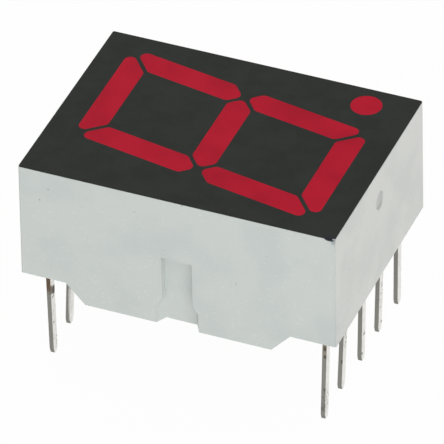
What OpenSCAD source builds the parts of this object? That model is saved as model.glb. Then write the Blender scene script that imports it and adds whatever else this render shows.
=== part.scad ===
// Single-digit seven segment display, 14.2 mm digit, two rows of five leads.
// X runs along the digit towards its foot, Y towards its right side, Z up out of the viewing face.
// The origin is under the middle of the body, at the level of the lead tips. Millimetres.

/* [Housing] */
// Length of the viewing face, along the digit
body_l = 17.3; // [16:0.1:20]
// Width of the viewing face
body_w = 12.5; // [11.4:0.1:15]
// Depth from the viewing face to the feet
body_depth = 8; // [7.4:0.1:9.5]
// Depth from the viewing face to the lower edge of the end walls
end_depth = 6.85; // [6.4:0.05:7.1]
// Draft of the outer walls, in degrees
draft = 0.4; // [0:0.1:1]
// Radius of the upright outer edges
edge_r = 0.1; // [0.05:0.05:0.4]
// Thickness of the end walls
end_wall = 0.75; // [0.4:0.05:0.8]
// Thickness of the side walls and of the feet below them
side_wall = 0.8; // [0.65:0.05:0.85]
// Thickness of the printed black layer on the viewing face
film_t = 0.05; // [0.03:0.01:0.15]
// How far the black layer stays inside the edge of the face
film_inset = 0.02; // [0.01:0.01:0.2]

/* [Feet and channel] */
// Length of a side wall's foot line where it rests
foot_l = 10.3; // [6:0.1:12]
// Length of the side wall where its foot slopes up to the end walls' level
foot_root_l = 12.4; // [12.2:0.1:15]
// Width of the upright channel in the middle of each side wall
channel_w = 1.7; // [1:0.1:2]
// Depth of the channel
channel_d = 0.5; // [0.2:0.05:0.55]
// Distance from the viewing face to the top of the channel
channel_drop = 3.75; // [2:0.05:5]
// Width of the channel's flared mouth between the feet
mouth_w = 2.3; // [2.1:0.1:4]
// Height over which the mouth narrows to the channel
mouth_h = 0.45; // [0.2:0.05:1]
// Thickness of the rib that backs the channel
rib_t = 0.45; // [0.2:0.05:0.5]
// How far the rib reaches past the channel on each side
rib_margin = 0.7; // [0.3:0.1:2]
// Diameter of the round gate mark on the end wall at the digit's foot
gate_d = 1; // [0.6:0.1:1.6]
// Depth of the gate mark
gate_depth = 0.08; // [0.03:0.01:0.2]
// Distance from the viewing face to the middle of the gate mark
gate_drop = 1.95; // [1:0.05:3]

/* [Digit] */
// Height of the digit over its outer strokes
digit_h = 14.26; // [13:0.02:14.6]
// Distance between the middle lines of the left and right strokes
digit_pitch = 6.5; // [6:0.01:6.8]
// Width of a stroke
stroke = 1.42; // [1.2:0.02:1.5]
// Slant of the digit, in degrees
slant = 10; // [5:0.5:12]
// Gap between the ends of neighbouring strokes
stroke_gap = 0.22; // [0.16:0.02:0.5]
// Radius of the strokes' corners
stroke_r = 0.34; // [0.1:0.02:0.4]
// Diameter of the decimal point
dot_d = 1.66; // [1.3:0.02:1.8]
// Distance from the digit's foot line up to the middle of the decimal point
dot_rise = 1.06; // [0.7:0.01:1.3]
// Distance from the face's right edge in to the middle of the decimal point
dot_margin = 1.4; // [1.2:0.01:1.6]

/* [Light pipes] */
// Depth of the light pipes below the viewing face
pipe_depth = 4.6; // [4:0.1:5]
// Length of a stroke's light pipe at its small end
pipe_end_l = 1.8; // [1.5:0.1:3]
// Width of a stroke's light pipe at its small end
pipe_end_w = 1; // [0.8:0.05:1.15]
// Diameter of the decimal point's light pipe at its small end
dot_end_d = 1.3; // [1.2:0.05:1.4]
// How far the light pipes stand out below the housing's web
pipe_stand = 0.05; // [0.02:0.01:0.1]

/* [Leads] */
// Thickness of the lead sheet
lead_t = 0.25; // [0.15:0.01:0.3]
// Width of a lead
lead_w = 0.5; // [0.35:0.01:0.55]
// Mean gap between the leads and the end walls, which sets the distance between the two rows
lead_end_gap = 0.155; // [0.12:0.005:0.3]
// How far both rows sit off the middle, towards the digit's foot
row_shift = 0.1; // [0:0.01:0.1]
// Gap between the outermost leads and the side walls, which sets the leads' pitch
lead_side_gap = 0.12; // [0.08:0.01:0.3]
// Length of a lead below the feet
lead_out = 4.65; // [3:0.05:8]
// How far a lead stands out of its row at most
row_play = 0.13; // [0:0.01:0.14]
// How far the leads lean towards the digit's head at most, in degrees
lead_lean = 3; // [0:0.1:3.2]
// Inner radius of the bend above a lead
bend_r = 0.2; // [0.1:0.05:0.4]
// Width of a lead at its tip
tip_w = 0.28; // [0.15:0.01:0.34]
// Height of the tapered tip
tip_h = 0.35; // [0.2:0.05:1]
// Width of the flat tracks between the bends and the chips
track_w = 0.4; // [0.32:0.01:0.45]
// Gap between the two outer tracks and the ribs
track_gap = 0.4; // [0.2:0.05:0.6]

/* [Chips and wires] */
// Side of a light-emitting chip
chip = 0.3; // [0.2:0.01:0.3]
// Height of a chip
chip_h = 0.25; // [0.2:0.01:0.35]
// Distance from the middle of a light pipe to its chip
chip_offset = 0.42; // [0.4:0.01:0.5]
// Distance from the middle of a light pipe to its wire's foot
bond_offset = 0.45; // [0.44:0.01:0.55]
// The same two distances under the decimal point
dot_offset = 0.32; // [0.32:0.01:0.36]
// Diameter of a bond wire
wire_d = 0.05; // [0.03:0.005:0.08]
// Height of a wire's arch above the chip
wire_rise = 0.28; // [0.15:0.01:0.5]

/* [Back fill] */
// Distance from the small ends of the light pipes to the lead tracks
frame_gap = 0.15; // [0.1:0.01:0.18]
// How far the fill stays above the lower edge of the end walls
fill_recess = 0.25; // [0.05:0.05:0.4]

/* [Hidden] */
STROKES = ["a", "b", "c", "d", "e", "f", "g"];
LAMPS = concat(STROKES, ["dp"]);

grey_plastic = [0.78, 0.79, 0.78];
black_print = [0.16, 0.16, 0.15];
red_epoxy = [0.69, 0.12, 0.16];
tinned_metal = [0.62, 0.61, 0.58];
chip_colour = [0.45, 0.25, 0.2];
gold = [0.85, 0.65, 0.25];
back_epoxy = [0.45, 0.16, 0.16];

arc_steps = 6;
wire_sides = 6;
wire_steps = 8;
over = 1; // reach of a cutter past the surface it cuts
wide = 2 * body_l; // reach of a half-plane past the digit

// Levels, measured up from the lead tips
feet_z = lead_out;
face_z = feet_z + body_depth;
print_z = face_z - film_t;
end_z = face_z - end_depth;
pipe_z = face_z - pipe_depth;
frame_z = pipe_z - frame_gap;
fill_z = end_z + fill_recess;

// Body
housing_h = print_z - feet_z;
flare = housing_h * tan(draft);
foot_outer_l = body_l + 2 * flare;
foot_outer_w = body_w + 2 * flare;
pocket_l = body_l - 2 * end_wall;
pocket_w = body_w - 2 * side_wall;
web_z = pipe_z + pipe_stand;
channel_y = body_w / 2 - channel_d;
channel_top_z = face_z - channel_drop;
rib_l = channel_w + 2 * rib_margin;

// Digit: the strokes meet at six points, three down each side
half_h = (digit_h - stroke) / 2;
half_w = digit_pitch / 2;
dot_x = digit_h / 2 - dot_rise;
dot_y = body_w / 2 - dot_margin;
mitre = (90 + 180 - slant) / 2;
square_mitre = mitre - 90;
function meet(row, side) = [row * half_h, side * half_w - row * half_h * tan(slant)];
function along(angle) = [cos(angle), sin(angle)];

// Strokes: [name, first meeting point, last meeting point, stroke angle, cuts].
// A cut is [meeting point, angle of the cut line, +1 or -1 for the kept side].
FORMS = [
    ["a", meet(-1, -1), meet(-1, 1), 90, [[meet(-1, 1), mitre, -1], [meet(-1, -1), square_mitre, -1]]],
    ["d", meet(1, -1), meet(1, 1), 90, [[meet(1, 1), square_mitre, 1], [meet(1, -1), mitre, 1]]],
    ["g", meet(0, -1), meet(0, 1), 90, [[meet(0, 1), mitre, -1], [meet(0, 1), square_mitre, 1],
        [meet(0, -1), square_mitre, -1], [meet(0, -1), mitre, 1]]],
    ["b", meet(-1, 1), meet(0, 1), -slant, [[meet(-1, 1), mitre, 1], [meet(0, 1), square_mitre, -1],
        [meet(0, 1), mitre, -1]]],
    ["f", meet(-1, -1), meet(0, -1), -slant, [[meet(-1, -1), square_mitre, 1], [meet(0, -1), mitre, -1],
        [meet(0, -1), square_mitre, -1]]],
    ["c", meet(0, 1), meet(1, 1), -slant, [[meet(0, 1), mitre, 1], [meet(0, 1), square_mitre, 1],
        [meet(1, 1), square_mitre, -1]]],
    ["e", meet(0, -1), meet(1, -1), -slant, [[meet(0, -1), square_mitre, 1], [meet(0, -1), mitre, 1],
        [meet(1, -1), mitre, -1]]]
];
function form(s) = FORMS[search([s], FORMS)[0]];
function middle(s) = s == "dp" ? [dot_x, dot_y] : (form(s)[1] + form(s)[2]) / 2;
function stroke_length(s) = norm(form(s)[2] - form(s)[1]);
function stroke_angle(s) = s == "dp" ? 0 : form(s)[3];

// Chips and wire feet lie either side of a light pipe's middle, on a grid of a thousandth.
// toward = 1 puts the chip on the far side.
function on_grid(point) = [for (v = point) round(v * 1000) / 1000];
function toward(s) = (s == "b" || s == "f" || s == "g" || s == "d") ? 1 : -1;
function chip_at(s) = on_grid(middle(s)
    + toward(s) * (s == "dp" ? dot_offset : chip_offset) * along(stroke_angle(s)));
function bond_at(s) = on_grid(middle(s)
    - toward(s) * (s == "dp" ? dot_offset : bond_offset) * along(stroke_angle(s)));

// Leads: [name, row, place, lean, play]. Row 1 is at the digit's foot and row -1 at its head, and the
// place counts pitches from the middle. The lean is a share of lead_lean, and the play a share of
// row_play, towards the digit's head.
row_x = pocket_l / 2 - lead_end_gap - lead_t / 2;
function row_at(side) = side * row_x + row_shift;
lead_pitch = (pocket_w - 2 * lead_side_gap - lead_w) / 4;
outer_track = pocket_w / 2 - rib_t - track_gap - track_w / 2;
PINS = [["e", 1, -2, 0.54, 0], ["d", 1, -1, 0.78, 0], ["c", 1, 1, 0.5, 0], ["dp", 1, 2, 0.15, 0],
    ["b", -1, 2, 0.2, 0], ["a", -1, 1, 0.4, 0], ["f", -1, -1, 1, -0.35], ["g", -1, -2, -0.17, 1]];
COMMON_PINS = [["common", 1, 0, 0.38, 0], ["common", -1, 0, 0.3, 0]];
function pin(s) = PINS[search([s], PINS)[0]];
bend_outer = bend_r + lead_t;
leg_top = frame_z - bend_outer;

// Corner points of the lead tracks, from the bend inwards
track_x = row_x + lead_t / 2 - bend_outer - track_w / 2;
function track_start(side) = side * track_x + row_shift;
function track(s) =
    let (side = pin(s)[1], start = [track_start(side), pin(s)[2] * lead_pitch], foot = bond_at(s))
    s == "e" || s == "b" ? [start, [side * half_h, start[1]], [side * half_h, foot[1]], foot]
    : s == "g" ? [start, [side * half_h, start[1]], [side * half_h, -outer_track], [foot[0], -outer_track], foot]
    : [start, [foot[0], start[1]], foot];
spine_y = chip_at("g")[1];
dot_branch_x = chip_at("c")[0] / 2;
COMMON_TRACKS = [
    [[track_start(-1), 0], [chip_at("b")[0], 0], [chip_at("b")[0], spine_y], [chip_at("c")[0], spine_y],
        [chip_at("c")[0], 0], [track_start(1), 0]],
    [chip_at("b"), chip_at("f")],
    [chip_at("c"), chip_at("e")],
    [chip_at("a"), [chip_at("a")[0], 0]],
    [chip_at("d"), [chip_at("d")[0], 0]],
    [[dot_branch_x, spine_y], [dot_branch_x, outer_track], [chip_at("dp")[0], outer_track], chip_at("dp")]
];

// ---- Digit outlines

// The kept side of a cut line, half a gap back from the line
module kept(cut) {
    translate(cut[0]) rotate(cut[1])
        translate([-wide / 2, cut[2] > 0 ? -wide - stroke_gap / 2 : stroke_gap / 2]) square(wide);
}

module stroke_outline(s) {
    f = form(s);
    offset(r = stroke_r, $fn = 24) offset(delta = -stroke_r) intersection() {
        translate((f[1] + f[2]) / 2) rotate(f[3])
            square([stroke_length(s) + 2 * stroke, stroke * (f[3] == 90 ? 1 : cos(slant))], center = true);
        intersection_for(cut = f[4]) kept(cut);
    }
}

// A light pipe: full outline at the viewing face, tapering to its small end over the chip
module light_pipe(s) {
    m = middle(s);
    angle = stroke_angle(s);
    taper = [pipe_end_l / stroke_length(s), pipe_end_w / stroke];
    translate([m[0], m[1], face_z]) rotate(angle) mirror([0, 0, 1])
        linear_extrude(height = pipe_depth, scale = taper)
            rotate(-angle) translate(-m) stroke_outline(s);
}

module dot_pipe() {
    translate([dot_x, dot_y, pipe_z])
        cylinder(h = pipe_depth, d1 = dot_end_d, d2 = dot_d, $fn = 48);
}

module all_pipes() {
    for (s = STROKES) light_pipe(s);
    dot_pipe();
}

// ---- Housing

module rounded_plate(l, w, r) {
    offset(r = r, $fn = 24) square([l - 2 * r, w - 2 * r], center = true);
}

module outer_shell() {
    translate([0, 0, feet_z])
        linear_extrude(height = housing_h, scale = [body_l / foot_outer_l, body_w / foot_outer_w])
            rounded_plate(foot_outer_l, foot_outer_w, edge_r);
}

// Space under the end walls, outside the feet
module end_clearance() {
    for (side = [-1, 1])
        translate([0, body_w, 0]) rotate([90, 0, 0]) linear_extrude(height = 2 * body_w)
            polygon([
                [side * foot_l / 2, feet_z],
                [side * foot_root_l / 2, end_z],
                [side * wide, end_z],
                [side * wide, feet_z - over],
                [side * foot_l / 2, feet_z - over]
            ]);
}

// Space below the web, with the two ribs left standing
module pocket(low_z) {
    difference() {
        translate([-pocket_l / 2, -pocket_w / 2, low_z]) cube([pocket_l, pocket_w, web_z - low_z]);
        for (side = [-1, 1])
            translate([-rib_l / 2, side > 0 ? pocket_w / 2 - rib_t : -pocket_w / 2 - over, low_z - over])
                cube([rib_l, rib_t + over, web_z - low_z + 2 * over]);
    }
}

// Channel in one side wall, with its flared mouth between the feet
module channel() {
    reach = channel_d + flare + over;
    translate([-channel_w / 2, channel_y, feet_z - over])
        cube([channel_w, reach, channel_top_z - feet_z + over]);
    hull() {
        translate([0, channel_y, feet_z - over]) linear_extrude(height = end_z - feet_z + over)
            polygon([
                [-channel_w / 2, 0], [channel_w / 2, 0], [mouth_w / 2, channel_d],
                [mouth_w / 2, reach], [-mouth_w / 2, reach], [-mouth_w / 2, channel_d]
            ]);
        translate([-channel_w / 2, channel_y, feet_z - over])
            cube([channel_w, reach, end_z - feet_z + over + mouth_h]);
    }
}

module gate_mark() {
    gate_z = face_z - gate_drop;
    wall_x = body_l / 2 + (print_z - gate_z) * tan(draft);
    translate([wall_x - gate_depth, 0, gate_z]) rotate([0, 90, 0])
        cylinder(h = gate_depth + over, d = gate_d, $fn = 48);
}

module housing() {
    color(grey_plastic) difference() {
        outer_shell();
        end_clearance();
        pocket(feet_z - over);
        channel();
        mirror([0, 1, 0]) channel();
        gate_mark();
        all_pipes();
    }
}

module face_film() {
    color(black_print) difference() {
        translate([0, 0, print_z]) linear_extrude(height = film_t)
            rounded_plate(body_l - 2 * film_inset, body_w - 2 * film_inset, edge_r);
        all_pipes();
    }
}

// ---- Light pipes, each hollowed by its own chip and wire

module segment(s) {
    color(red_epoxy) difference() {
        light_pipe(s);
        chip(s);
        bond_wire(s);
    }
}

module decimal_point() {
    color(red_epoxy) difference() {
        dot_pipe();
        chip("dp");
        bond_wire("dp");
    }
}

// ---- Leads

// Points on a quarter turn about a centre, from the angle "from" to the angle "to"
function arc(centre, r, from, to) =
    [for (i = [0 : arc_steps]) centre + r * along(from + (to - from) * i / arc_steps)];

// Side view of a leg in X and Z: a short flat, the bend, and the leg, which leans from the fill's
// lower face down to its tip. The lean is in degrees, towards the flat if above 0.
module leg_profile(lean) {
    centre = [track_x - row_x + track_w / 2, leg_top];
    tip_x = -fill_z * tan(lean);
    polygon(concat(
        [[centre[0] - track_w, frame_z]],
        arc(centre, bend_outer, 90, 0),
        [[lead_t / 2, fill_z], [tip_x + lead_t / 2, 0], [tip_x - lead_t / 2, 0], [-lead_t / 2, fill_z]],
        arc(centre, bend_r, 0, 90),
        [[centre[0] - track_w, frame_z - lead_t]]
    ));
}

// Front view of a leg in Y and Z, with its tapered tip
module leg_front() {
    polygon([
        [-tip_w / 2, 0], [tip_w / 2, 0], [lead_w / 2, tip_h], [lead_w / 2, face_z],
        [-lead_w / 2, face_z], [-lead_w / 2, tip_h]
    ]);
}

module leg(p) {
    translate([row_at(p[1]) - p[4] * row_play, p[2] * lead_pitch, 0])
        mirror([p[1] > 0 ? 0 : 1, 0, 0]) intersection() {
            translate([0, lead_w, 0]) rotate([90, 0, 0])
                linear_extrude(height = 2 * lead_w) leg_profile(p[1] * p[3] * lead_lean);
            translate([-row_x, 0, 0]) rotate([90, 0, 90])
                linear_extrude(height = 2 * row_x) leg_front();
        }
}

// A flat strip from one corner point to the next, in line with X or Y
module strip(from, to) {
    low = [min(from[0], to[0]), min(from[1], to[1])];
    size = [abs(from[0] - to[0]), abs(from[1] - to[1])];
    translate([low[0] - track_w / 2, low[1] - track_w / 2, frame_z - lead_t])
        cube([size[0] + track_w, size[1] + track_w, lead_t]);
}

module strips(points) {
    for (i = [1 : len(points) - 1]) strip(points[i - 1], points[i]);
}

module single_lead(s) {
    color(tinned_metal) {
        leg(pin(s));
        strips(track(s));
    }
}

module common_lead() {
    color(tinned_metal) {
        for (p = COMMON_PINS) leg(p);
        for (points = COMMON_TRACKS) strips(points);
    }
}

// ---- Chips and wires

module chip(s) {
    at = chip_at(s);
    color(chip_colour) translate([at[0] - chip / 2, at[1] - chip / 2, frame_z])
        cube([chip, chip, chip_h]);
}

// Centre line of a wire in its own upright plane: up off the chip, over, and down to the track
function wire_point(turn, span) =
    [span * (1 - cos(turn)) / 2, chip_h * (1 - turn / 180) + wire_rise * sin(turn)];
function wire_slope(turn, span) =
    [span * sin(turn) / 2, wire_rise * cos(turn) - chip_h / PI];
function wire_ring(turn, span) =
    let (c = wire_point(turn, span), d = wire_slope(turn, span) / norm(wire_slope(turn, span)))
    [for (k = [0 : wire_sides - 1])
        let (u = cos(360 * k / wire_sides) * wire_d / 2, v = sin(360 * k / wire_sides) * wire_d / 2)
        [c[0] + u * d[1], v, c[1] - u * d[0]]];

module bond_wire(s) {
    start = chip_at(s);
    run = bond_at(s) - start;
    span = norm(run);
    last = wire_steps * wire_sides;
    points = [for (i = [0 : wire_steps]) each wire_ring(180 * i / wire_steps, span)];
    walls = [for (i = [0 : wire_steps - 1], k = [0 : wire_sides - 1])
        let (a = i * wire_sides + k, b = i * wire_sides + (k + 1) % wire_sides)
        [a, b, b + wire_sides, a + wire_sides]];
    color(gold) translate([start[0], start[1], frame_z]) rotate(atan2(run[1], run[0]))
        polyhedron(points, concat(
            walls,
            [[for (k = [0 : wire_sides - 1]) wire_sides - 1 - k]],
            [[for (k = [0 : wire_sides - 1]) last + k]]
        ));
}

// ---- Back fill

module back_fill() {
    color(back_epoxy) difference() {
        pocket(fill_z);
        all_pipes();
        common_lead();
        for (s = LAMPS) {
            single_lead(s);
            chip(s);
            bond_wire(s);
        }
    }
}

housing();
face_film();
decimal_point();
common_lead();
back_fill();
for (s = STROKES) segment(s);
for (s = LAMPS) single_lead(s);
for (s = LAMPS) chip(s);
for (s = LAMPS) bond_wire(s);
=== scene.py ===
import math

import bpy
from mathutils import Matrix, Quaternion, Vector


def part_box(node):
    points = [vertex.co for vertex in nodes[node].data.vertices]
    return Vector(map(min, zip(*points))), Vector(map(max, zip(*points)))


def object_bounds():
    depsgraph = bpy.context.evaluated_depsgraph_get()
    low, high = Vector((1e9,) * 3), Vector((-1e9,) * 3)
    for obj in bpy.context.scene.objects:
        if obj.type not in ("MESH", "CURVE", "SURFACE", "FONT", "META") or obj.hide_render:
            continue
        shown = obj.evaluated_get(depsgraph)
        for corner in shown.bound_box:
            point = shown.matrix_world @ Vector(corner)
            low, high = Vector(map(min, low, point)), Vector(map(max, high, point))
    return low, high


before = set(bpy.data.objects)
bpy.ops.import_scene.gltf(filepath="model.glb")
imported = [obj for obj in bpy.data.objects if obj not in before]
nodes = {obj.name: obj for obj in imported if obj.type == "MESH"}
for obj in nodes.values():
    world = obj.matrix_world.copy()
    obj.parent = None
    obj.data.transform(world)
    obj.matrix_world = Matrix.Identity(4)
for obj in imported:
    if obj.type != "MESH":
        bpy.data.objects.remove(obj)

mm = 0.001
cadLow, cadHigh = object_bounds()
housingLow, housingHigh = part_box("housing")
filmLow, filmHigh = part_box("face_film")
strokeNames = ["segment_" + stroke for stroke in "abcdefg"]
lampNames = [*"abcdefg", "dp"]             # what the chips, their wires and the single leads end in
print("frame loaded:", len(nodes), "nodes")


# Shader maths: a Flow is one socket of a node tree, and a sum of Flows adds a Math node.
class Flow:
    def __init__(self, tree, socket=None):
        self.tree = tree
        self.socket = socket

    def node(self, kind, settings, sockets, output=0):
        made = self.tree.nodes.new(kind)
        for name, value in settings.items():
            setattr(made, name, value)
        for key, value in sockets.items():
            if isinstance(value, Flow):
                self.tree.links.new(value.socket, made.inputs[key])
            else:
                made.inputs[key].default_value = value
        return Flow(self.tree, made.outputs[output])

    def math(self, operation, first, second=0.0):
        return self.node("ShaderNodeMath", {"operation": operation}, {0: first, 1: second})

    def __add__(self, other):
        return self.math("ADD", self, other)

    __radd__ = __add__

    def __sub__(self, other):
        return self.math("SUBTRACT", self, other)

    def __rsub__(self, other):
        return self.math("SUBTRACT", other, self)

    def __mul__(self, other):
        return self.math("MULTIPLY", self, other)

    __rmul__ = __mul__


def newFinish(name, constants):            # a material, its shader and its place coordinates in metres
    material = bpy.data.materials.new(name)
    material.use_nodes = True
    shader = material.node_tree.nodes["Principled BSDF"]
    for socket, value in constants.items():
        shader.inputs[socket].default_value = value
    place = Flow(material.node_tree).node("ShaderNodeTexCoord", {}, {}, "Object")
    return material, shader, place


def feed(shader, socket, flow):
    flow.tree.links.new(flow.socket, shader.inputs[socket])


def noise(place, size, detail=3.0):        # 0 to 1, in lumps of about that size
    return place.node("ShaderNodeTexNoise", {}, {"Vector": place, "Scale": 1 / size, "Detail": detail})


def between(flow, low, high):              # 0 below low, 1 above high, smooth in the middle
    return flow.node("ShaderNodeMapRange", {"interpolation_type": "SMOOTHSTEP"},
                     {"Value": flow, "From Min": low, "From Max": high})


def tinted(factor, first, second, blend="MIX"):    # from the first colour at 0 to the second at 1
    firstSocket, secondSocket, result = 6, 7, 2    # the Mix node's sockets for colours
    colours = {socket: (*colour, 1.0) if isinstance(colour, tuple) else colour
               for socket, colour in ((firstSocket, first), (secondSocket, second))}
    settings = {"data_type": "RGBA", "blend_type": blend}
    return factor.node("ShaderNodeMix", settings, {0: factor, **colours}, result)


def farness(place, centre, size):          # 0 at the centre, 1 on an ellipsoid of that size
    away = place.node("ShaderNodeVectorMath", {"operation": "SUBTRACT"}, {0: place, 1: centre})
    scaled = place.node("ShaderNodeVectorMath", {"operation": "DIVIDE"}, {0: away, 1: size})
    return place.node("ShaderNodeVectorMath", {"operation": "LENGTH"}, {0: scaled}, "Value")


def bumpFrom(height, depth):               # depth in metres between a height of 0 and of 1
    return height.node("ShaderNodeBump", {}, {"Height": height, "Distance": depth}, "Normal")


def normalPart(place, axis):               # the surface direction along an axis, -1 to 1
    normal = place.node("ShaderNodeTexCoord", {}, {}, "Normal")
    return place.node("ShaderNodeSeparateXYZ", {}, {"Vector": normal}, axis)


def unsigned(flow):
    return flow.math("ABSOLUTE", flow)


def larger(first, second):
    return first.math("MAXIMUM", first, second)


def facing(place, axis):                   # how squarely the surface faces along an axis, either way
    return unsigned(normalPart(place, axis))


def dress(name, material):
    slots = nodes[name].data.materials
    slots.clear()
    slots.append(material)


softening = {
    "weldReach": 1e-4 * mm,
    "flatAngle": 0.5,                      # degrees up to which neighbouring triangles become one face
    "edgeAngle": 35,                       # degrees from which an edge is rounded
    "steps": 2,
}


def soften(name, width):                   # small radius along a solid's sharp edges
    piece = nodes[name]
    piece.modifiers.new("weld", "WELD").merge_threshold = softening["weldReach"]
    flatten = piece.modifiers.new("flatten", "DECIMATE")
    flatten.decimate_type = "DISSOLVE"
    flatten.angle_limit = math.radians(softening["flatAngle"])
    bevel = piece.modifiers.new("bevel", "BEVEL")
    bevel.width = width
    bevel.segments = softening["steps"]
    bevel.angle_limit = math.radians(softening["edgeAngle"])


view = {
    "azimuth": 22.82,                      # degrees, counted as in direction() below
    "elevation": 37.73,
    "roll": -1.19,
    "distance": 332.7 * mm,
    "aim": Vector((0.276, -0.835, 1.26)) * mm,    # from the middle of the part
    "lens": 523.7,
    "nearClip": 10 * mm,
    "farClip": 10.0,
}


def direction(azimuth, elevation):         # from the part, in degrees
    turn, rise = math.radians(azimuth), math.radians(elevation)
    return Vector((math.sin(turn) * math.cos(rise), -math.cos(turn) * math.cos(rise), math.sin(rise)))


def makeCamera():
    back = direction(view["azimuth"], view["elevation"])
    camera = bpy.data.objects.new("camera", bpy.data.cameras.new("camera"))
    bpy.context.scene.collection.objects.link(camera)
    camera.data.lens = view["lens"]
    camera.data.clip_start = view["nearClip"]
    camera.data.clip_end = view["farClip"]
    camera.location = (cadLow + cadHigh) / 2 + view["aim"] + back * view["distance"]
    roll = Quaternion((0, 0, 1), math.radians(view["roll"]))
    camera.rotation_mode = "QUATERNION"
    camera.rotation_quaternion = (-back).to_track_quat("-Z", "Y") @ roll
    bpy.context.scene.camera = camera


studio = {
    "floorSize": 3.0,
    "floorColour": (0.80, 0.80, 0.79),
    "floorGlow": 0.97,                     # share of plain white in what the camera sees of the floor
    "skyLight": 0.40,                      # strength of the white surroundings
    "lampSize": 0.6,
    "lampDistance": 0.6,
    "lamps": [                             # azimuth and elevation in degrees, watts, colour
        (8, 18, 1.10, (0.985, 1.0, 1.0)),
        (35, 18, 1.90, (0.985, 1.0, 1.0)),
        (140, 25, 1.95, (1.0, 0.97, 0.94)),
        (235, 25, 1.00, (1.0, 1.0, 1.0)),
    ],
}


def seenDirectly(start):                   # 1 for the eye and for mirrored or refracted light
    rays = ("Is Camera Ray", "Is Glossy Ray", "Is Transmission Ray")
    camera, glossy, through = (start.node("ShaderNodeLightPath", {}, {}, ray) for ray in rays)
    return camera + glossy + through


def makeFloor():
    half = studio["floorSize"] / 2
    mesh = bpy.data.meshes.new("floor")
    corners = [(-half, -half, 0), (half, -half, 0), (half, half, 0), (-half, half, 0)]
    mesh.from_pydata(corners, [], [(0, 1, 2, 3)])
    floor = bpy.data.objects.new("floor", mesh)
    bpy.context.scene.collection.objects.link(floor)
    material = bpy.data.materials.new("floorPaper")
    material.use_nodes = True
    tree = material.node_tree
    start = Flow(tree)
    paper = start.node("ShaderNodeBsdfDiffuse", {}, {"Color": (*studio["floorColour"], 1.0)})
    glow = start.node("ShaderNodeEmission", {}, {"Strength": 1.0})
    share = seenDirectly(start) * studio["floorGlow"]
    both = start.node("ShaderNodeMixShader", {}, {0: share, 1: paper, 2: glow})
    tree.links.new(both.socket, tree.nodes["Material Output"].inputs["Surface"])
    mesh.materials.append(material)


def makeSky():
    world = bpy.data.worlds.new("studio")
    bpy.context.scene.world = world
    world.use_nodes = True
    start = Flow(world.node_tree)
    strength = studio["skyLight"] + seenDirectly(start) * (1 - studio["skyLight"])
    background = world.node_tree.nodes["Background"]
    background.inputs["Color"].default_value = (1, 1, 1, 1)
    feed(background, "Strength", strength)


def makeLamps():
    for number, (azimuth, elevation, watts, colour) in enumerate(studio["lamps"]):
        light = bpy.data.lights.new(f"lamp{number}", "AREA")
        light.size = studio["lampSize"]
        light.energy = watts
        light.color = colour
        lamp = bpy.data.objects.new(f"lamp{number}", light)
        bpy.context.scene.collection.objects.link(lamp)
        away = direction(azimuth, elevation)
        lamp.location = away * studio["lampDistance"]
        lamp.rotation_euler = (-away).to_track_quat("-Z", "Y").to_euler()


makeCamera()
makeFloor()
makeSky()
makeLamps()
bpy.context.scene.view_settings.view_transform = "Standard"
print("camera, floor and light made")


# Each Range, Facing and Edge below holds the two values between which a mask comes in or fades out.

# The housing is moulded grey plastic.
housingLook = {
    "colour": (0.578, 0.611, 0.592),
    "endColourPaintedLight": (0.577, 0.589, 0.570),    # painted warmer light: the end walls are tinted a shade warmer
    "endReach": 0.25 * mm,                 # how far in from the ends the painted shade on the edges and the painted warmer light begin
    "endFacing": (0.6, 0.9),
    # The next five colours multiply the one under them.
    # painted light: this makes the channels' side walls paler, lifting their shade in the recess
    "channelSidesPaintedLight": (1.17, 1.16, 1.16),
    "clouds": (0.935, 0.945, 0.950),
    "edgePaintedShade": (0.89, 0.89, 0.89),          # painted shade along the rounded upright edges near the ends, dimming their highlight
    "specks": (0.66, 0.65, 0.63),
    "dust": (1.07, 1.07, 1.06),
    "channelEdge": (1.2 * mm, 1.32 * mm),  # from the middle, beyond the channels' sides
    "channelFacing": (0.8, 0.95),
    "cloudSize": 2.4 * mm,
    "cloudRange": (0.42, 0.72),
    "edgeShadeStrength": 2.0,
    "speckSize": 0.9 * mm,
    "speckGrains": 7,                      # to one speck
    "speckRange": (0.46, 0.52),
    "speckPlaces": [                       # two more, X and Z on the front wall in millimetres
        (-7.0, 11.6),
        (-7.5, 10.8),
    ],
    "speckReach": 0.07 * mm,
    "speckEdge": (0.7, 1.3),
    "dustSize": 0.16 * mm,
    "dustRange": (0.70, 0.78),
    "grainSize": 0.10 * mm,
    "grainDepth": 0.002 * mm,
    "roughness": 0.48,
    "roughnessSwing": 0.08,
    "specular": 0.4,
    "softEdge": 0.03 * mm,
    "gateColour": (0.455, 0.463, 0.447),
    "gateSize": Vector((0.5, 0.5, 0.62)) * mm,
    "gateEdge": (0.8, 1.05),
    "gateDrop": 1.98 * mm,                 # below the face
}

cornerLook = {                             # the print at the near corner of the face
    "ink": (0.010, 0.012, 0.017),
    "inkPlace": Vector((-0.28, 0.0, 0.0)) * mm,  # this place and the next two from the film's corner
    "inkSize": Vector((0.26, 0.2, 0.10)) * mm,
    "chipped": (0.37, 0.41, 0.42),         # plastic where the print has come off
    "chipPlace": Vector((0.02, 0.0, 0.0)) * mm,
    "chipSize": Vector((0.15, 0.10, 0.2)) * mm,
    "smear": (0.66, 0.70, 0.73),           # multiplies the plastic under it
    "smearPlace": Vector((-0.06, 0.0, -0.1)) * mm,
    "smearSize": Vector((0.15, 0.14, 0.2)) * mm,
    "lumpSize": 0.1 * mm,                  # the lumps that make the outlines ragged
    "lumpDepth": 0.4,
    "edge": (0.95, 1.35),
    "inkSpread": 1.5,                      # how much larger the ink spot is on the print
}


def cornerMask(place, part, grown=1.0):    # ragged patch at the near corner
    corner = Vector((filmHigh.x, filmLow.y, filmLow.z)) + cornerLook[part + "Place"]
    away = farness(place, corner, cornerLook[part + "Size"] * grown)
    lumps = noise(place, cornerLook["lumpSize"]) * cornerLook["lumpDepth"]
    return 1 - between(away + lumps, *cornerLook["edge"])


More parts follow.
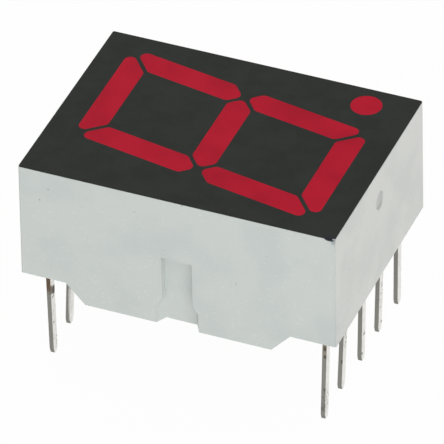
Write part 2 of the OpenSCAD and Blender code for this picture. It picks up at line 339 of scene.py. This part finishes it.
def makeHousingFinish():
    look, corner = housingLook, cornerLook
    material, shader, place = newFinish("greyPlastic", {"Specular IOR Level": look["specular"]})
    outward = unsigned(place.node("ShaderNodeSeparateXYZ", {}, {"Vector": place}, "X"))
    nearEnd = between(outward, filmHigh.x - look["endReach"], filmHigh.x)
    # painted warmer light on the end walls
    warmLightOnEndWalls = nearEnd * between(facing(place, "X"), *look["endFacing"])
    nearMiddle = 1 - between(outward, *look["channelEdge"])
    # painted light on the side walls of the channels
    channelSidesPaintedLight = nearMiddle * between(facing(place, "X"), *look["channelFacing"])
    clouds = between(noise(place, look["cloudSize"], 5.0), *look["cloudRange"])
    grains = noise(place, look["speckSize"] / look["speckGrains"], 0.0)
    dots = noise(place, look["speckSize"], 1.0) + grains
    specks = 1 - between(dots, *look["speckRange"])
    for x, z in look["speckPlaces"]:
        spot = Vector((x * mm, housingLow.y, z * mm))
        away = farness(place, spot, Vector((1, 1, 1)) * look["speckReach"])
        specks = larger(specks, 1 - between(away, *look["speckEdge"]))
    dust = between(noise(place, look["dustSize"], 0.0), *look["dustRange"])
    # painted shade on the rounded upright edges near the ends
    edgePaintedShade = nearEnd * facing(place, "X") * facing(place, "Y") * look["edgeShadeStrength"]
    gate = Vector((housingHigh.x, 0, filmHigh.z - look["gateDrop"]))
    gateMark = 1 - between(farness(place, gate, look["gateSize"]), *look["gateEdge"])

    colour = tinted(warmLightOnEndWalls, look["colour"], look["endColourPaintedLight"])
    colour = tinted(channelSidesPaintedLight, colour, look["channelSidesPaintedLight"], "MULTIPLY")
    colour = tinted(clouds, colour, look["clouds"], "MULTIPLY")
    colour = tinted(specks, colour, look["specks"], "MULTIPLY")
    colour = tinted(dust, colour, look["dust"], "MULTIPLY")
    colour = tinted(edgePaintedShade, colour, look["edgePaintedShade"], "MULTIPLY")
    colour = tinted(gateMark, colour, look["gateColour"])
    colour = tinted(cornerMask(place, "smear"), colour, corner["smear"], "MULTIPLY")
    colour = tinted(cornerMask(place, "ink"), colour, corner["ink"])
    feed(shader, "Base Color", colour)
    feed(shader, "Roughness", look["roughness"] + (clouds - 0.5) * look["roughnessSwing"])
    feed(shader, "Normal", bumpFrom(noise(place, look["grainSize"], 4.0), look["grainDepth"]))
    return material


dress("housing", makeHousingFinish())
soften("housing", housingLook["softEdge"])
print("housing finished")


# The viewing face is black print with the red light pipes flush in it.
printLook = {
    "colour": (0.0072, 0.0090, 0.0070),
    "faded": (0.0152, 0.0180, 0.0148),
    "cloudSize": 1.1 * mm,
    "cloudRange": (0.3, 0.7),
    "meshSize": 0.07 * mm,                 # the print screen's own weave
    "meshDepth": 0.0015 * mm,
    "roughness": 0.56,
    "roughnessSwing": 0.2,
    "specular": 0.12,
    "softEdge": 0.012 * mm,
}

epoxyLook = {
    "colour": (0.466, 0.0028, 0.0225),
    "deep": (0.384, 0.0020, 0.0185),
    "cloudSize": 1.9 * mm,
    "cloudRange": (0.35, 0.75),
    "grainSize": 0.05 * mm,
    "grainDepth": 0.001 * mm,
    "roughness": 0.5,
    "roughnessSwing": 0.15,
    "specular": 0.08,
    "softEdge": 0.015 * mm,
}


def makePrintFinish():
    look = printLook
    material, shader, place = newFinish("blackPrint", {"Specular IOR Level": look["specular"]})
    clouds = noise(place, look["cloudSize"], 6.0)
    inkSpot = cornerMask(place, "ink", cornerLook["inkSpread"])
    colour = tinted(between(clouds, *look["cloudRange"]), look["colour"], look["faded"])
    colour = tinted(inkSpot, colour, cornerLook["ink"])
    colour = tinted(cornerMask(place, "chip"), colour, cornerLook["chipped"])
    feed(shader, "Base Color", colour)
    feed(shader, "Roughness", look["roughness"] + (clouds - 0.5) * look["roughnessSwing"])
    feed(shader, "Normal", bumpFrom(noise(place, look["meshSize"], 1.0), look["meshDepth"]))
    return material


def makeEpoxyFinish():
    look = epoxyLook
    material, shader, place = newFinish("redEpoxy", {"Specular IOR Level": look["specular"]})
    clouds = noise(place, look["cloudSize"], 4.0)
    depth = between(clouds, *look["cloudRange"])
    feed(shader, "Base Color", tinted(depth, look["colour"], look["deep"]))
    feed(shader, "Roughness", look["roughness"] + (clouds - 0.5) * look["roughnessSwing"])
    feed(shader, "Normal", bumpFrom(noise(place, look["grainSize"], 2.0), look["grainDepth"]))
    return material


dress("face_film", makePrintFinish())
soften("face_film", printLook["softEdge"])
redEpoxy = makeEpoxyFinish()
for name in [*strokeNames, "decimal_point"]:
    dress(name, redEpoxy)
    soften(name, epoxyLook["softEdge"])
print("viewing face finished")


# The leads are tinned, with dull sheared edges that carry painted shade, and brown at the roots of
# two.
leadLook = {
    "tin": (0.780, 0.772, 0.738),
    "tinRoughness": 0.42,
    "streakColour": (0.640, 0.635, 0.600),
    "streakSize": 0.35 * mm,
    "streakRange": (0.45, 0.75),
    "shearedAndShaded": (0.252, 0.250, 0.226),      # edges that the stamping cut, darkened partly as painted shade
    "shearedRoughness": 0.60,
    "shearedFacing": (0.55, 0.8),
    "roughnessSwing": 0.15,
    "grainSize": 0.06 * mm,
    "grainDepth": 0.002 * mm,
    "softEdge": 0.05 * mm,
    "markColours": {
        "rust": (0.105, 0.066, 0.036),
        "stain": (0.250, 0.220, 0.180),
        "blot": (0.075, 0.058, 0.045),
        "pits": (0.140, 0.132, 0.115),
        "freckles": (0.340, 0.330, 0.300),
        "smear": (0.640, 0.630, 0.590),    # tin drawn over a sheared edge
    },
    "scattered": ("pits", "freckles"),     # kinds that are many small dots
    "dotSize": 0.12 * mm,
    "dotRange": (0.50, 0.60),
    "lumpSize": 0.16 * mm,                 # the lumps that make the outlines of marks ragged
    "lumpDepth": 0.6,
    "markEdge": (0.95, 1.45),
    "markFacing": (0.5, 0.8),
    "markTarnish": 0.8,                    # the share of the metal's shine that a mark takes
    "pinReach": 5,                         # millimetres, keeps a mark to one of a lead's two pins
    "throughReach": 1000,                  # millimetres, lets a mark run right through the pin
    # Marks: kind, side that carries it, then in millimetres the place along that side, the height
    # above the tips and the reach along the side and upwards
    "marks": {
        "lead_g": [
            ("rust", "front", -7.64, 4.9, 0.6, 0.95),
            ("stain", "right", -5.28, 4.2, 0.2, 0.32),
            ("blot", "right", -5.00, 4.05, 0.2, 0.3),
            ("stain", "right", -5.12, 3.66, 0.16, 0.05),
            ("stain", "right", -5.18, 2.02, 0.10, 0.05),
            ("freckles", "right", -4.9, 0.6, 0.15, 0.5),
        ],
        "lead_f": [
            ("smear", "front", -7.60, 1.2, 0.11, 1.6),
            ("smear", "front", -7.49, 3.6, 0.11, 1.6),
        ],
        "lead_e": [
            ("stain", "front", 7.72, 4.9, 0.25, 0.8),
            ("blot", "front", 7.70, 4.72, 0.09, 0.18),
            ("blot", "front", 7.72, 4.18, 0.09, 0.13),
            ("blot", "front", 7.66, 2.0, 0.06, 0.09),
            ("pits", "front", 7.60, 1.2, 0.3, 0.9),
            ("freckles", "right", -5.20, 1.3, 0.3, 0.9),
        ],
        "lead_d": [
            ("blot", "front", 7.65, 1.92, 0.08, 0.13),
            ("freckles", "right", -2.5, 3.5, 0.25, 1.0),
        ],
        "common_lead": [
            ("blot", "right", 0.05, 1.7, 0.14, 0.06),
            ("blot", "right", -0.20, 0.55, 0.11, 0.07),
        ],
        "lead_c": [
            ("blot", "right", 2.68, 0.55, 0.1, 0.08),
            ("freckles", "right", 2.56, 2.4, 0.25, 1.0),
        ],
    },
}


def markMask(place, pin, kind, side, along, height, width, reach):    # 1 where the mark is
    look = leadLook
    if side == "right":
        middle = Vector((pin, along, height))
        size = Vector((look["pinReach"], width, reach))
        outward = normalPart(place, "X")
    else:
        middle = Vector((along, 0, height))
        size = Vector((width, look["throughReach"], reach))
        outward = -1 * normalPart(place, "Y")
    lumps = noise(place, look["lumpSize"], 2.0) * look["lumpDepth"]
    mask = 1 - between(farness(place, middle * mm, size * mm) + lumps, *look["markEdge"])
    if kind in look["scattered"]:
        mask = mask * between(noise(place, look["dotSize"], 2.0), *look["dotRange"])
    return mask * between(outward, *look["markFacing"])


def makeLeadFinish(name):
    look = leadLook
    material, shader, place = newFinish("tinned_" + name, {})
    # the sheared edges: dull metal, made darker still as painted shade
    shearedShadedFaces = between(facing(place, "Y"), *look["shearedFacing"])
    streaks = noise(place, look["streakSize"], 4.0)
    tin = tinted(between(streaks, *look["streakRange"]), look["tin"], look["streakColour"])
    colour = tinted(shearedShadedFaces, tin, look["shearedAndShaded"])
    dull, stained = shearedShadedFaces, shearedShadedFaces * 0
    pin = max((corner.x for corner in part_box(name)), key=abs) / mm    # of two, the one further out
    for kind, *spot in look["marks"].get(name, []):
        mask = markMask(place, pin, kind, *spot)
        colour = tinted(mask, colour, look["markColours"][kind])
        dull, stained = larger(dull, mask), larger(stained, mask)
    feed(shader, "Base Color", colour)
    feed(shader, "Metallic", 1 - stained * look["markTarnish"])
    rougher = dull * (look["shearedRoughness"] - look["tinRoughness"])
    swing = (streaks - 0.5) * look["roughnessSwing"]
    feed(shader, "Roughness", look["tinRoughness"] + rougher + swing)
    feed(shader, "Normal", bumpFrom(noise(place, look["grainSize"], 3.0), look["grainDepth"]))
    return material


for name in ["common_lead", *("lead_" + lamp for lamp in lampNames)]:
    dress(name, makeLeadFinish(name))
    soften(name, leadLook["softEdge"])
print("leads finished")


# The back is dark fill. The chips and wires are inside, out of sight.
fillLook = {
    "colour": (0.150, 0.016, 0.016),
    "pale": (0.215, 0.030, 0.026),         # where the fill is thinner
    "cloudSize": 2.2 * mm,
    "cloudRange": (0.35, 0.7),
    "dustColour": (0.30, 0.24, 0.22),
    "dustSize": 0.8 * mm,
    "dustRange": (0.56, 0.72),
    "dustShare": 0.35,
    "dustRoughness": 0.25,
    "bubbleSize": 0.35 * mm,
    "bubbleRange": (0.05, 0.18),
    "bubbleDepth": 0.02 * mm,
    "rippleSize": 0.9 * mm,
    "rippleDepth": 0.012 * mm,
    "roughness": 0.30,
    "specular": 0.5,
    "softEdge": 0.02 * mm,
}

chipLook = {
    "side": (0.055, 0.035, 0.030),
    "top": (0.35, 0.20, 0.06),             # the metal pad
    "topFacing": (0.7, 0.9),
    "topMetal": 0.8,
    "sawSize": 0.02 * mm,
    "roughness": 0.25,
    "roughnessSwing": 0.3,
}

wireLook = {
    "gold": (0.83, 0.53, 0.17),
    "dark": (0.62, 0.36, 0.10),
    "drawSize": 0.06 * mm,
    "roughness": 0.15,
    "roughnessSwing": 0.2,
}


def makeFillFinish():
    look = fillLook
    material, shader, place = newFinish("backEpoxy", {"Specular IOR Level": look["specular"]})
    clouds = between(noise(place, look["cloudSize"], 4.0), *look["cloudRange"])
    dust = between(noise(place, look["dustSize"], 6.0), *look["dustRange"])
    colour = tinted(clouds, look["colour"], look["pale"])
    feed(shader, "Base Color", tinted(dust * look["dustShare"], colour, look["dustColour"]))
    feed(shader, "Roughness", look["roughness"] + dust * look["dustRoughness"])
    cells = {"Vector": place, "Scale": 1 / look["bubbleSize"]}
    bubbles = between(place.node("ShaderNodeTexVoronoi", {}, cells), *look["bubbleRange"])
    ripple = noise(place, look["rippleSize"], 1.0) * (look["rippleDepth"] / look["bubbleDepth"])
    feed(shader, "Normal", bumpFrom(bubbles + ripple, look["bubbleDepth"]))
    return material


def makeChipFinish():
    look = chipLook
    material, shader, place = newFinish("chipCrystal", {})
    top = between(facing(place, "Z"), *look["topFacing"])
    saw = noise(place, look["sawSize"], 2.0)
    feed(shader, "Base Color", tinted(top * saw, look["side"], look["top"]))
    feed(shader, "Metallic", top * look["topMetal"])
    feed(shader, "Roughness", look["roughness"] + saw * look["roughnessSwing"])
    return material


def makeWireFinish():
    look = wireLook
    material, shader, place = newFinish("goldWire", {"Metallic": 1.0})
    draw = noise(place, look["drawSize"], 3.0)
    feed(shader, "Base Color", tinted(draw, look["dark"], look["gold"]))
    feed(shader, "Roughness", look["roughness"] + draw * look["roughnessSwing"])
    return material


dress("back_fill", makeFillFinish())
soften("back_fill", fillLook["softEdge"])
chipCrystal, goldWire = makeChipFinish(), makeWireFinish()
for lamp in lampNames:
    dress("chip_" + lamp, chipCrystal)
    dress("bond_wire_" + lamp, goldWire)
print("back fill, chips and wires finished")
